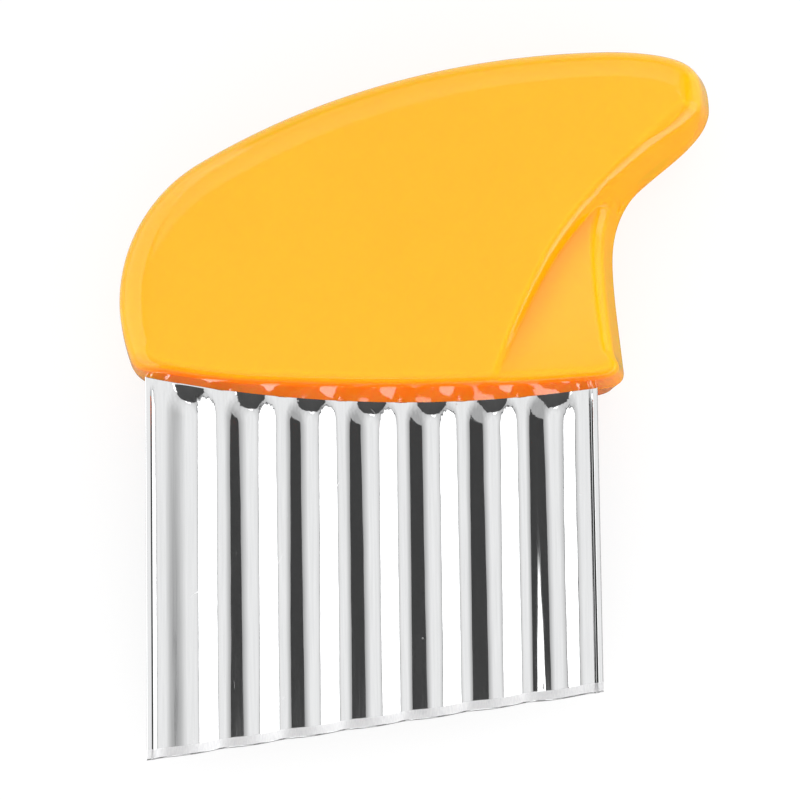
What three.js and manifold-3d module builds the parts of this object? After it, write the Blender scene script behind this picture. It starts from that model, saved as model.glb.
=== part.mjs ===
// Crinkle cutter: a fluted stainless blade whose flat tang is pinned between two moulded half shells.
// Millimetres. It lies on its rear face: X runs towards the fin, Y from the cutting edge to the crown of
// the handle, and Z up out of the front face. The origin is under the middle of its box.
import * as THREE from 'three';
import { mergeVertices } from 'three/addons/utils/BufferGeometryUtils.js';
import Module from 'manifold-3d';

const wasm = await Module();
wasm.setup();

// Overall size
const HALF_LENGTH = 48.6; // nose or fin tip to the middle
const HALF_HEIGHT = 57.3; // crown or lowest blade corner to the middle
const HALF_THICK = 11; // parting plane to the flat middle of either face

// Handle section
const WALL = 2.4;
const EDGE_RADIUS = 4.8; // rounding of the crown, fin, nose and ridge
const HEEL_RADIUS = 2;
const FOOT_RADIUS = 1.6; // rounding along the foot, where the blade comes out
const RADIUS_CLIMB = 9; // height over which the foot rounding grows to the rounding above it
const DRAFT = 0.02; // lean of the side walls, per millimetre of depth
const SIDE_LEAN = 0.24; // extra lean of the heel's side and of the fin's lower side
const KEEL = 1.2; // extra lean of the underside, at the middle of the foot
const SEAM = 0.15; // chamfer that shows as the line between the shells

// Form of the faces: flat in the middle, falling away to the nose and to the fin
const FLAT_LEFT = -14;
const FLAT_RIGHT = 12;
const NOSE_FALL = 2.4;
const FIN_FALL = 1.2;
const HEEL_STEP = 0.4; // drop from the main face to the heel, at the foot
const HEEL_SLOPE = 0.1; // how much deeper the heel sinks for each millimetre up from the foot

// Foot of the handle: a shallow arc, lowest near the middle
const FOOT_LOW = { x: 0.5, y: 0.2 };
const FOOT_ARC = 208;
const FOOT_LEFT = -43.8;
const FOOT_RIGHT = 31;
const CORNER = 2;

// Where the sloping side of the heel and fin sets in along X, and where it fades out along Y
const SIDE_FROM = 22;
const SIDE_RAMP = 8;
const TIP_FROM = 42;
const TIP_RAMP = 9;

// Outline of the palm body above its foot: each curve's two handles and its end, from the ridge leftwards
const RIDGE_FOOT = [15.2, 4.2];
const PALM_CURVES = [
  [[19.5, 12], [28.5, 25.2], [36.4, 34.5]], // up the ridge to the root of the fin
  [[40.6, 38.5], [HALF_LENGTH, 43.2], [HALF_LENGTH, 48.3]], // under the fin to its tip
  [[HALF_LENGTH, 55.4], [45.2, HALF_HEIGHT], [33, HALF_HEIGHT]], // round the tip to the crown
  [[3.6, HALF_HEIGHT], [-18.8, 49.2], [-35.2, 39.8]], // down the back to the shoulder
  [[-43.7, 35], [-HALF_LENGTH, 26], [-HALF_LENGTH, 16.8]], // over the shoulder to the nose
  [[-HALF_LENGTH, 13.2], [-47.7, 9.6], [-46.7, 6.8]], // down the nose
];
const NOSE_CORNER = -46;

// Outline of the heel above its foot, and the points of the sides that are buried in the palm body
const HEEL_CORNER = 33.8;
const HEEL_SIDE = [33.6, 4.8];
const HEEL_CURVES = [
  [[33.2, 9.8], [32.2, 17], [32.2, 22.5]], // up the side to the waist
  [[32.2, 27], [33.5, 31], [36.5, 35.8]], // from the waist into the fin
];
const HEEL_BURIED = [[33, 40], [16, 32], [8, 14], [8, 1.6]];
const HEEL_START = 13.2;

// Points that the rings of each face shrink to
const PALM_CENTRE = [-4, 29];
const HEEL_CENTRE = [22, 28];

// Blade
const SHEET = 0.5;
const BLADE_LEFT = -44;
const BLADE_RIGHT = 29.2;
const EDGE_SLANT = 0.137; // rise of the cutting edge per millimetre to the right
const FLUTES = 7;
const FLUTE_PITCH = 9.83;
const FLUTE_FIRST = -37.2; // middle of the first flute
const FLUTE_LAST = FLUTE_FIRST + (FLUTES - 1) * FLUTE_PITCH;
const FLUTE_DEPTH = 1.92; // at the upper end of the first flute
const FLUTE_DEEPEN = 0.3; // more depth at the cutting edge
const FLUTE_GROWTH = 0.25; // more depth at the last flute
const FLUTE_FLARE = 0.5; // and more again at its lower end
const FLUTE_WARP = 0.14; // makes the hollows a little wider than the crests
const FLUTE_END = 4.4; // length over which a flute closes under the handle
const FLUTE_GAP = 0.1; // flat strip between the handle and the flute ends
const LEFT_RISE = 0.82; // share of the depth that the sheet comes back up beside the first flute
const RIGHT_RISE = 0.75; // and beside the last
const BEVEL = 2; // height of the ground edge
const EDGE_LAND = 0.1; // sheet left at the very edge
const TANG_TOP = 18;
const TANG_ROOM = 1; // slot left over the tang
const TANG_CORNER = 4;

// Pins, sockets and ribs inside the handle
const GAP = 0.3;
const PIN = 2; // radii
const PIN_HOLE = 2.4;
const SOCKET_BORE = 2.3;
const BOSS = 3.5;
const PIN_REACH = 6; // how far a pin stands past the parting plane
const BORE_DEPTH = 7;
const TANG_PINS = [-34, -13, 8, 24];
const TANG_PIN_Y = 10;
const UPPER_PINS = [[-24, 31], [5, 42], [36, 46.5]];
const RIB = 1.4;
const RIBS = [-23.5, -2.5, 16.5];
const RIB_LOW = 5.5; // height over the parting plane of the ribs above the tang
const RIB_RAMP = 3; // run over which a rib climbs to that height
const OVERRUN = 1; // how far a cutting body runs past what it cuts

// Fineness
const PALM_STEPS = [10, 6, 8, 14, 8, 4, 3, 10, 3]; // points along each curve of the outline
const HEEL_STEPS = [6, 3, 6, 7, 1, 2, 2, 1, 1];
const EDGE_STEPS = 5;
const FACE_RINGS = [0.8, 0.55, 0.3];
const HOLLOW_EDGE_STEPS = 2;
const HOLLOW_RINGS = [0.5];
const FLUTE_STEPS = 10;
const END_STEPS = 5;
const ROUND_STEPS = 14;
const INSET_KEEP = 0.98; // share of an inset within which a point has crossed over
const WELD = 1e-4; // points closer than this are one

const CLAMP = SHEET / 2 + GAP; // tang's middle to what holds it
const smooth = (t) => THREE.MathUtils.smoothstep(t, 0, 1);
const mix = THREE.MathUtils.lerp;

// Height of the foot's arc at x
function footY(x) {
  return FOOT_LOW.y + (x - FOOT_LOW.x) ** 2 / (2 * FOOT_ARC);
}

// Control point that makes a quadratic curve follow the foot's arc from one x to another
function footControl(from, to) {
  const rise = ((from - FOOT_LOW.x) * (to - FOOT_LOW.x)) / (2 * FOOT_ARC);
  return [(from + to) / 2, FOOT_LOW.y + rise];
}

// Closed outline of the palm body, counter-clockwise from the foot of the ridge
function palmOutline() {
  const [ridgeX] = RIDGE_FOOT;
  const footEnd = ridgeX - CORNER;
  const path = new THREE.Path();
  path.moveTo(...RIDGE_FOOT);
  for (const [first, second, end] of PALM_CURVES) path.bezierCurveTo(...first, ...second, ...end);
  path.quadraticCurveTo(NOSE_CORNER, footY(NOSE_CORNER), FOOT_LEFT, footY(FOOT_LEFT));
  path.quadraticCurveTo(...footControl(FOOT_LEFT, footEnd), footEnd, footY(footEnd));
  path.quadraticCurveTo(ridgeX - CORNER / 4, footY(ridgeX), ...RIDGE_FOOT);
  return traced(path, PALM_STEPS);
}

// Closed outline of the heel, counter-clockwise from where its foot leaves the palm body
function heelOutline() {
  const path = new THREE.Path();
  path.moveTo(HEEL_START, footY(HEEL_START));
  path.quadraticCurveTo(...footControl(HEEL_START, FOOT_RIGHT), FOOT_RIGHT, footY(FOOT_RIGHT));
  path.quadraticCurveTo(HEEL_CORNER, footY(HEEL_CORNER), ...HEEL_SIDE);
  for (const [first, second, end] of HEEL_CURVES) path.bezierCurveTo(...first, ...second, ...end);
  for (const point of HEEL_BURIED) path.lineTo(...point);
  path.lineTo(HEEL_START, footY(HEEL_START));
  return traced(path, HEEL_STEPS);
}

// Points along a closed path, so many on each of its curves
function traced(path, steps) {
  return path.curves.flatMap((curve, i) => curve.getPoints(steps[i]).slice(0, -1));
}

// Unit vector that points into a counter-clockwise outline at one of its points
function inward(outline, i) {
  const count = outline.length;
  const along = outline[(i + 1) % count].clone().sub(outline[(i + count - 1) % count]).normalize();
  return new THREE.Vector2(-along.y, along.x);
}

// The outline moved in by a distance, without the points that a tight corner would cross over
function insetOutline(outline, distance) {
  const nearest = INSET_KEEP * distance;
  const moved = outline.map((p, i) => p.clone().addScaledVector(inward(outline, i), distance));
  return moved.filter((q) => outline.every((p) => p.distanceTo(q) > nearest));
}

// Height of the main face over the parting plane
function faceLevel(p) {
  const left = Math.max(0, FLAT_LEFT - p.x) / (FLAT_LEFT + HALF_LENGTH);
  const right = Math.max(0, p.x - FLAT_RIGHT) / (HALF_LENGTH - FLAT_RIGHT);
  return HALF_THICK - NOSE_FALL * left ** 2 - FIN_FALL * right ** 2;
}

function heelLevel(p) {
  return faceLevel(p) - HEEL_STEP - HEEL_SLOPE * Math.max(0, p.y - footY(p.x));
}

function palmRadius(p) {
  return mix(FOOT_RADIUS, EDGE_RADIUS, smooth((p.y - footY(p.x)) / RADIUS_CLIMB));
}

function heelRadius(p) {
  return mix(FOOT_RADIUS, HEEL_RADIUS, smooth((p.y - footY(p.x)) / RADIUS_CLIMB));
}

// Lean of the side wall: a plain draft, a keel along the foot that fades out at both ends, and a slope on
// the heel's side that runs on under the fin and fades out round its tip
function lean(p) {
  const across = (p.x - FOOT_LOW.x) / (FOOT_RIGHT - FOOT_LOW.x);
  const onFoot = 1 - smooth((p.y - footY(p.x)) / CORNER);
  const keel = (KEEL / HALF_THICK) * onFoot * Math.max(0, 1 - across ** 2);
  const toSide = smooth((p.x - SIDE_FROM) / SIDE_RAMP);
  const toTip = smooth((p.y - TIP_FROM) / TIP_RAMP);
  return DRAFT + keel + SIDE_LEAN * (1 - onFoot) * toSide * (1 - toTip);
}

// One closed half body. Its side climbs from the parting plane and rounds over into the face, whose rings
// shrink to the centre. A hollow is the same form, thinner by the wall.
function halfBody(form, side, hollow = 0) {
  const outline = hollow ? insetOutline(form.outline, hollow) : form.outline;
  const base = hollow ? -OVERRUN : 0;
  const rim = hollow ? { inset: 0, z: 0 } : { inset: SEAM, z: 2 * SEAM };
  const edgeSteps = hollow ? HOLLOW_EDGE_STEPS : EDGE_STEPS;
  const faceRings = hollow ? HOLLOW_RINGS : FACE_RINGS;
  const level = (p) => form.level(p) - hollow;
  const sections = outline.map((p, i) => {
    const into = inward(outline, i);
    const radius = Math.max(FOOT_RADIUS / 2, form.radius(p) - hollow);
    const tilt = lean(p);
    const at = (inset) => p.clone().addScaledVector(into, inset);
    const top = level(at(radius + tilt * HALF_THICK));
    const shoulder = top - radius;
    const points = [[at(rim.inset), base], [at(0), rim.z], [at(tilt * shoulder), shoulder]];
    for (let k = 1; k <= edgeSteps; k += 1) {
      const angle = ((k / edgeSteps) * Math.PI) / 2;
      const inset = tilt * shoulder + radius * (1 - Math.cos(angle));
      points.push([at(inset), shoulder + radius * Math.sin(angle)]);
    }
    const brow = points.at(-1)[0];
    for (const share of faceRings) {
      const q = form.centre.clone().lerp(brow, share);
      points.push([q, level(q)]);
    }
    return points;
  });
  return closedRings(sections, form.centre, base, level(form.centre), side);
}

// Joins sections that stand round a centre into a closed mesh, with a fan below and a fan above
function closedRings(sections, centre, low, high, side) {
  const count = sections.length;
  const rings = sections[0].length;
  const positions = [];
  for (const section of sections) {
    for (const [p, z] of section) positions.push(p.x, p.y, side * z);
  }
  positions.push(centre.x, centre.y, side * low, centre.x, centre.y, side * high);
  const floor = count * rings;
  const roof = floor + 1;
  const triangles = [];
  for (let i = 0; i < count; i += 1) {
    const here = i * rings;
    const next = ((i + 1) % count) * rings;
    triangles.push([floor, next, here]);
    for (let j = 0; j + 1 < rings; j += 1) {
      triangles.push([here + j, next + j, next + j + 1], [here + j, next + j + 1, here + j + 1]);
    }
    triangles.push([here + rings - 1, next + rings - 1, roof]);
  }
  return meshFrom(positions, triangles, side);
}

function meshFrom(positions, triangles, side = 1) {
  const geometry = new THREE.BufferGeometry();
  geometry.setAttribute('position', new THREE.Float32BufferAttribute(positions, 3));
  geometry.setIndex(triangles.flatMap(([a, b, c]) => (side > 0 ? [a, b, c] : [a, c, b])));
  return geometry;
}

// Solid for joining and cutting, from a closed mesh
function solid(geometry) {
  const bare = geometry.clone();
  bare.deleteAttribute('normal');
  bare.deleteAttribute('uv');
  const merged = mergeVertices(bare, WELD);
  const vertProperties = new Float32Array(merged.attributes.position.array);
  const triVerts = new Uint32Array(merged.index.array);
  return new wasm.Manifold(new wasm.Mesh({ numProp: 3, vertProperties, triVerts }));
}

function geometryOf(made) {
  const mesh = made.getMesh();
  const geometry = new THREE.BufferGeometry();
  geometry.setAttribute('position', new THREE.Float32BufferAttribute(mesh.vertProperties, 3));
  geometry.setIndex(new THREE.Uint32BufferAttribute(mesh.triVerts, 1));
  geometry.computeVertexNormals();
  return geometry;
}

// Upright cylinder from one height to another
function post(radius, x, y, low, high) {
  const geometry = new THREE.CylinderGeometry(radius, radius, high - low, ROUND_STEPS);
  geometry.rotateX(Math.PI / 2);
  geometry.translate(x, y, (low + high) / 2);
  return solid(geometry);
}

// Upright rib: full depth where it clamps the tang, shallow from there to the crown
function rib(x, side) {
  const step = TANG_TOP + 2 * TANG_ROOM;
  const buried = HALF_THICK + OVERRUN;
  const profile = new THREE.Shape();
  profile.moveTo(-OVERRUN, side * CLAMP);
  profile.lineTo(step, side * CLAMP);
  profile.lineTo(step + RIB_RAMP, side * RIB_LOW);
  profile.lineTo(HALF_HEIGHT, side * RIB_LOW);
  profile.lineTo(HALF_HEIGHT, side * buried);
  profile.lineTo(-OVERRUN, side * buried);
  const geometry = new THREE.ExtrudeGeometry(profile, { depth: RIB, bevelEnabled: false });
  geometry.rotateY(Math.PI / 2);
  geometry.rotateX(Math.PI / 2);
  geometry.translate(x - RIB / 2, 0, 0);
  return solid(geometry);
}

const pinPlaces = [...TANG_PINS.map((x) => [x, TANG_PIN_Y]), ...UPPER_PINS];
const span = (side, near, far) => (side > 0 ? [near, far] : [-far, -near]);

const palm = {
  outline: palmOutline(),
  centre: new THREE.Vector2(...PALM_CENTRE),
  level: faceLevel,
  radius: palmRadius,
};
const heel = {
  outline: heelOutline(),
  centre: new THREE.Vector2(...HEEL_CENTRE),
  level: heelLevel,
  radius: heelRadius,
};

// Half of the handle, hollow, with ribs and bosses standing in the hollow, and relieved for the tang
function handleHalf(side) {
  let hollow = solid(halfBody(palm, side, WALL)).add(solid(halfBody(heel, side, WALL)));
  for (const x of RIBS) hollow = hollow.subtract(rib(x, side));
  for (const [x, y] of pinPlaces) {
    hollow = hollow.subtract(post(BOSS, x, y, ...span(side, CLAMP, HALF_THICK + OVERRUN)));
  }
  const outer = solid(halfBody(palm, side)).add(solid(halfBody(heel, side)));
  const width = BLADE_RIGHT - BLADE_LEFT + 2 * GAP;
  const slotTop = TANG_TOP + TANG_ROOM;
  const slot = new THREE.BoxGeometry(width, slotTop + OVERRUN, 2 * CLAMP);
  slot.translate((BLADE_RIGHT + BLADE_LEFT) / 2, (slotTop - OVERRUN) / 2, 0);
  return outer.subtract(hollow).subtract(solid(slot));
}

function frontShell() {
  let shell = handleHalf(1);
  for (const [x, y] of pinPlaces) shell = shell.add(post(PIN, x, y, -PIN_REACH, HALF_THICK / 2));
  return shell;
}

function rearShell() {
  let shell = handleHalf(-1);
  for (const [x, y] of pinPlaces) shell = shell.subtract(post(SOCKET_BORE, x, y, -BORE_DEPTH, OVERRUN));
  return shell;
}

// Depth of the flutes, which grows to the right and towards the cutting edge
function fluteDepth(x, below) {
  const across = THREE.MathUtils.clamp((x - FLUTE_FIRST) / (FLUTE_LAST - FLUTE_FIRST), 0, 1);
  const down = below / HALF_HEIGHT; // 1 near the lowest corner of the blade
  return FLUTE_DEPTH + FLUTE_GROWTH * across + (FLUTE_DEEPEN + FLUTE_FLARE * across ** 3) * down;
}

// Middle of the sheet at x, a distance below the ends of the flutes
function sheetLevel(x, below) {
  const phase = (2 * Math.PI * (x - FLUTE_FIRST)) / FLUTE_PITCH;
  const pastLast = x > FLUTE_LAST + FLUTE_PITCH / 2;
  const crest = pastLast ? 1 : (1 - Math.cos(phase - FLUTE_WARP * Math.sin(phase))) / 2;
  let rise = 1;
  if (x < FLUTE_FIRST) rise = LEFT_RISE;
  if (x > FLUTE_LAST) rise = RIGHT_RISE;
  const under = Math.max(0, below);
  const closed = Math.sin((Math.PI / 2) * Math.min(1, under / FLUTE_END));
  return -fluteDepth(x, under) * (1 - rise * crest) * closed;
}

// Fluted sheet: columns run down from the tang to the slanted edge, whose front is ground to a bevel
function bladeSheet() {
  const columns = Math.round((FLUTE_STEPS * (BLADE_RIGHT - BLADE_LEFT)) / FLUTE_PITCH);
  const front = [];
  const back = [];
  for (let i = 0; i <= columns; i += 1) {
    const x = mix(BLADE_LEFT, BLADE_RIGHT, i / columns);
    const aside = Math.max(0, TANG_CORNER - Math.min(x - BLADE_LEFT, BLADE_RIGHT - x));
    const top = TANG_TOP - TANG_CORNER + Math.sqrt(TANG_CORNER ** 2 - aside ** 2);
    const fluteTop = footY(x) - FLUTE_GAP;
    const edge = -HALF_HEIGHT + EDGE_SLANT * (x - BLADE_LEFT);
    const heights = [top];
    for (let k = 0; k <= END_STEPS; k += 1) heights.push(fluteTop - (FLUTE_END * k) / END_STEPS);
    heights.push(edge + BEVEL, edge);
    front.push(heights.map((y) => {
      const ground = (SHEET - EDGE_LAND) * Math.max(0, 1 - (y - edge) / BEVEL);
      return [x, y, sheetLevel(x, fluteTop - y) + SHEET / 2 - ground];
    }));
    back.push(heights.map((y) => [x, y, sheetLevel(x, fluteTop - y) - SHEET / 2]));
  }
  return closedSheet(front, back);
}

// Closes a front and a back grid of points, columns from left to right and each from the top down
function closedSheet(front, back) {
  const columns = front.length;
  const rows = front[0].length;
  const faceOf = (column, row) => column * rows + row;
  const backOf = (column, row) => (columns + column) * rows + row;
  const triangles = [];
  const quad = (a, b, c, d) => triangles.push([a, b, c], [a, c, d]);
  for (let i = 0; i + 1 < columns; i += 1) {
    for (let j = 0; j + 1 < rows; j += 1) {
      quad(faceOf(i, j), faceOf(i, j + 1), faceOf(i + 1, j + 1), faceOf(i + 1, j));
      quad(backOf(i, j), backOf(i + 1, j), backOf(i + 1, j + 1), backOf(i, j + 1));
    }
    quad(faceOf(i, 0), faceOf(i + 1, 0), backOf(i + 1, 0), backOf(i, 0));
    quad(faceOf(i, rows - 1), backOf(i, rows - 1), backOf(i + 1, rows - 1), faceOf(i + 1, rows - 1));
  }
  const last = columns - 1;
  for (let j = 0; j + 1 < rows; j += 1) {
    quad(faceOf(0, j), backOf(0, j), backOf(0, j + 1), faceOf(0, j + 1));
    quad(faceOf(last, j), faceOf(last, j + 1), backOf(last, j + 1), backOf(last, j));
  }
  return meshFrom([...front, ...back].flat(2), triangles);
}

function blade() {
  let sheet = solid(bladeSheet());
  for (const x of TANG_PINS) sheet = sheet.subtract(post(PIN_HOLE, x, TANG_PIN_Y, -OVERRUN, OVERRUN));
  return sheet;
}

const yellowPlastic = new THREE.MeshStandardMaterial({ color: 0xffbd37, roughness: 0.2, metalness: 0 });
const polishedSteel = new THREE.MeshStandardMaterial({ color: 0xd9dbdc, roughness: 0.12, metalness: 1 });

function piece(name, made, material) {
  const mesh = new THREE.Mesh(geometryOf(made), material);
  mesh.name = name;
  return mesh;
}

const group = new THREE.Group();
group.add(piece('front_shell', frontShell(), yellowPlastic));
group.add(piece('rear_shell', rearShell(), yellowPlastic));
group.add(piece('blade', blade(), polishedSteel));
group.position.z = HALF_THICK;

export default group;
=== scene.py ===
# Looks of a crinkle cutter: a moulded yellow handle in two shells round a fluted, polished steel blade.
# The part lies on its rear shell. Form is written in millimetres and put into the meshes in metres.
import math

import bpy
import numpy as np
from mathutils import Matrix, Vector


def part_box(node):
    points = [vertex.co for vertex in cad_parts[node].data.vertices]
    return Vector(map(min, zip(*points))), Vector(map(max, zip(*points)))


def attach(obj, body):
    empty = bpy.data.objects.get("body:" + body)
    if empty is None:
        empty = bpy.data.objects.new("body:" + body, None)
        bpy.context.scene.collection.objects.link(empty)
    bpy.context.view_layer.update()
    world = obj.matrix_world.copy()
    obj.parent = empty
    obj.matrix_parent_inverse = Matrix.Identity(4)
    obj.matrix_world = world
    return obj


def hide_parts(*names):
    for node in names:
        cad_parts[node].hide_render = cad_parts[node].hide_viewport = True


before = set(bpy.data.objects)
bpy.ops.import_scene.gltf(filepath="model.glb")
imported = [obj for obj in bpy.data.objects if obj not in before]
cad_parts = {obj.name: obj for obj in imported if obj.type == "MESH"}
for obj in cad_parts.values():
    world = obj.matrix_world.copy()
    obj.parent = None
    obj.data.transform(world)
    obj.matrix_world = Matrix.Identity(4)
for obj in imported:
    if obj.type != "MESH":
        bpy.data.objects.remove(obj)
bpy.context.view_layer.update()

MM = 0.001

# Sizes taken from the frame
_, handle_high = (np.array(corner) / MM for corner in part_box("front_shell"))
blade_low, blade_high = (np.array(corner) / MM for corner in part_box("blade"))
HALF_LENGTH = handle_high[0]  # nose or fin tip to the middle
CROWN = handle_high[1]
HALF_THICK = handle_high[2] / 2  # parting plane to either face
MARGIN_LIP = 0.6  # how far the lip of the left margin stands out past the solid's side
BLADE_LEFT = blade_low[0] - MARGIN_LIP
BLADE_RIGHT = blade_high[0]
BLADE_LOW = blade_low[1]  # lowest corner of the cutting edge
TANG_TOP = blade_high[1]
SHEET = 2 * (blade_high[2] - HALF_THICK)

# Foot of the handle: a shallow arc, lowest near the middle
FOOT_LOW = (0.5, 0.2)
FOOT_ARC = 208
FOOT_LEFT = -43.8
FOOT_RIGHT = 31


def foot_y(x):
    return FOOT_LOW[1] + (x - FOOT_LOW[0]) ** 2 / (2 * FOOT_ARC)


# Outline of the handle at the parting plane, counter-clockwise from the left end of its foot.
# A stretch holds its handles and its end, then the lean and the brow radius of the side at that end.
OUTLINE_START = (FOOT_LEFT, foot_y(FOOT_LEFT))
OUTLINE = (
    ("foot", [(-6.4, -3.05)], (FOOT_RIGHT, foot_y(FOOT_RIGHT)), 0.01, 2),
    ("heel corner", [(33.8, foot_y(33.8))], (33.6, 4.8), 0.24, 2.6),
    ("heel side", [(33.2, 9.8), (32.2, 17)], (32.2, 22.5), 0.3, 2.9),
    ("neck", [(32.2, 27), (33.3, 31.1)], (36.4, 34.5), 0.4, 3.0),
    ("under the fin", [(40.6, 38.5), (HALF_LENGTH, 43.2)], (HALF_LENGTH, 48.3), 0.28, 4.6),
    ("fin tip", [(HALF_LENGTH, 55.4), (45.2, CROWN)], (33, CROWN), 0.06, 5.0),
    ("back", [(3.6, CROWN), (-18.8, 49.2)], (-35.2, 39.8), 0.06, 6.2),
    ("shoulder", [(-43.7, 35), (-HALF_LENGTH, 26)], (-HALF_LENGTH, 16.8), 0.04, 6.4),
    ("nose", [(-HALF_LENGTH, 13.2), (-47.7, 9.6)], (-46.7, 6.8), 0.04, 5),
    ("nose corner", [(-46, foot_y(-46))], OUTLINE_START, 0.02, 2.2),
)
KEEL = 1.2  # extra lean of the underside, at the middle of the foot
COLUMN = 0.42  # step along the outline
# Columns on either side that inward directions, leans and radii are evened over
INWARD_REACH, LEAN_REACH, RADIUS_REACH = 12, 5, 9
CENTRE = np.array((6.0, 22.0))  # every point of the outline is in sight of it
HEEL_SIDE, NECK, FIN_SIDE, FIN_TIP = 2, 3.5, 4.3, 5.2  # places along the outline, counted in stretches
FACETED = (1.6, 2.2, 4.8, 5.4)  # the side has a facet along its top between these places
STEEPEST = 0.12  # least lean of the side along the ridge
FIN_DROP = 7  # how far the heel sinks away under the side of the fin
FIN_LEDGE = 1.5  # but no lower than this over the parting plane

# Faces: flat in the middle, falling away to the nose and to the fin
FLAT_LEFT = -14
FLAT_RIGHT = 12
NOSE_FALL = 2.4
FIN_FALL = 1.2

# Ridge between the main face and the sunk heel: its brow line from below the foot to the fin
RIDGE_START = (10.1, -1.4)
RIDGE = (
    ("rise", [(12.0, 5.3), (15.3, 13.8)], (19.6, 21.8)),
    ("sweep", [(23.4, 28.8), (29.4, 35.1)], (34.3, 39.5)),
    ("fin", [(37.4, 42.3), (40.6, 44.7)], (43.7, 47)),
)
BAND = (1.1, 2.1)  # width of the facet along the top of the step, at the foot and at the fin
BAND_SLOPE = math.tan(math.radians(46))
WALL_SLOPE = math.tan(math.radians(69))
BAND_EASE = 0.45  # rounding along either side of the facet
RIDGE_FILLET = 0.5  # height over which the wall eases into the heel
FILLET_SHARE = 0.9  # share of the step that this may take
RIDGE_REACH = 4  # farther left than this from the ridge's start, a point lies far before it
FAR_BEFORE = -1e3
AT_A_TIME = 4000  # points compared with the ridge line at once
FOLD_WIDTH = 2.9  # painted shade: how far the fold's deeper colour reaches from the wall's foot
FOLD_EASE = 0.8  # how far up the wall that starts
FOLD_DEPTH = 1.8  # depth of the step from which the fold's painted shade is strongest
FOLD_FADE = (0.56, 0.1)  # share of the ridge at which the fold's painted shade fades, and over how much of it
HEEL_STEP = 0.4  # drop from the main face to the heel, at the foot
HEEL_SLOPE = 0.1  # how much deeper the heel sinks for each millimetre up

# Shell section
SEAM = 0.15  # chamfer along the parting line
PARTING = 0.02  # half the gap between the shells
MOUTH_ROOM = 0.3  # room round the blade where it leaves the handle
SLOT = SHEET / 2 + MOUTH_ROOM  # height of the mouth over the parting plane
HOLLOW_SLOT = SLOT + 0.4  # and under it, where the flutes' hollows come out
MOUTH_TOP = 4  # the foot is open only below this
LIP = 3  # height over which the side closes up to make the mouth
RIM = 2.4
LEAST_SQUARE = 0.5  # keeps the rim from growing where the outline runs nearly towards the centre
RECESS = 3
INSET_REACH = 10  # how far in the top of the side is looked for, and in how many steps
INSET_STEPS = 500
BROW_SHARE = 0.45  # share of the side's height that the brow may take
SIDE_EASE = 0.8  # rounding between the side and the step's wall
FACET_LOW = 0.62  # share of the way from the brow's corner down the wall to the facet
FACET_HIGH = 0.45  # and from the corner in over the face
FACET_ROUND = 0.25  # share of the facet that its rounded sides take
SIDE_ROWS, BROW_ROWS, FACE_ROWS = 16, 24, 260  # fine rows before the line is thinned
SECTION_ROWS = 66
BEND_WEIGHT = 3.4  # how much a bend in the section draws rows to it, in millimetres a radian

# Blade
EDGE_SLANT = 0.137  # how much the cutting edge rises for each millimetre to the right
FLUTES = 7
FLUTE_PITCH = 9.83
FLUTE_FIRST = -37.2
FLUTE_LAST = FLUTE_FIRST + (FLUTES - 1) * FLUTE_PITCH
FLUTE_WARP = 0.14  # makes the hollows a little wider than the crests
FLUTE_END = 4.9  # length over which a flute closes under the handle
FLUTE_LIFT = (1.05, 24)  # how far inside the mouth flutes start, reached this far from the first
MOUTH_SWELL = (2.5, 0.17)  # the sheet comes up a little to the mouth: over this length, by this much
FLUTE_DEPTH = 1.83  # at the upper end of the first flute
FLUTE_DEEPEN = 0.3  # more depth at the cutting edge
FLUTE_GROWTH = 0.34  # more depth at the last flute
GROWTH_POWER = 0.85  # how early on the way to it that comes
FLUTE_FLARE = 0.56  # and more again towards its lower end
FLARE_POWER = 9  # how late that comes
LEFT_RISE = 0.82  # share of the depth that the left margin comes back up
RIGHT_RISE = 0.8
RIGHT_SINK = 0.2  # less of it towards the cutting edge
RIGHT_FOLD = (28.1, 0.55, 0.32)  # beside the right side: place, half width, depth
LEFT_LIP = (-43.5, 0.45, 0.24)  # along the left side: place, width and height of the step up to it
BEVEL = 1.6  # height of the ground bevel
HONED = (0.2, 0.68)  # height of the steeper honed strip, and the share of the sheet ground away there
GROUND_ROWS = (BEVEL, 2 * BEVEL / 3, BEVEL / 3, HONED[0] + 0.02, HONED[0], 0)  # heights over the edge
EDGE_LAND = 0.1  # thickness left at the edge
BURR = 0.16  # rounding of the cut sides
SLOW_MARKS, QUICK_MARKS = 0.02, 0.01  # heights of the unevenness in the sheet
CREASE = 0.008  # height of the creases at the flute ends
CREASED = (0.6, 2)  # lengths over which they come and go
BLADE_STEP = 0.17
LIP_COLUMNS, FOLD_COLUMNS = 11, 15  # extra columns where the sheet bends sharply
TANG_ROW = 0.5  # height of the tang's lowest row over the flutes
END_ROWS, STRAIGHT_ROWS = 34, 16
END_RUN = 1  # how far the fine rows go on below the flute ends
BEVEL_EDGE = 0.08  # height of the last polished row over the bevel

# Colours, linear
YELLOW = (1.0, 0.515, 0.004)
YELLOW_DEEP = (1.0, 0.495, 0.003)
SIDE_SHADE_AMBER = (1.0, 0.355, 0.006)  # painted shade: deeper colour on sides that face away from the softbox
UNDERSIDE_SHADE_ORANGE = (1.0, 0.182, 0.003)  # painted shade: the underside, in shade and lit mostly by light coming through the plastic
FOLD_SHADE = (0.97, 0.385, 0.002)  # painted shade where the heel meets the step's wall
STEEL = (0.79, 0.795, 0.8)
STEEL_WORN = (0.74, 0.745, 0.75)
GROUND = (0.93, 0.93, 0.93)
GROUND_DARK = (0.87, 0.87, 0.88)

# Photograph's view: nearly from above, with the foot of the handle turned a little to the camera
TILT = math.radians(9)
ROLL = math.radians(-0.8)
DISTANCE = 690
FIELD = 130.4  # width of the picture at the parting plane
AIM_RIGHT = -3.05
AIM_UP = 0.75
SENSOR = 36
CLIP = 0.01  # metres


# Curves and outlines

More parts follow.
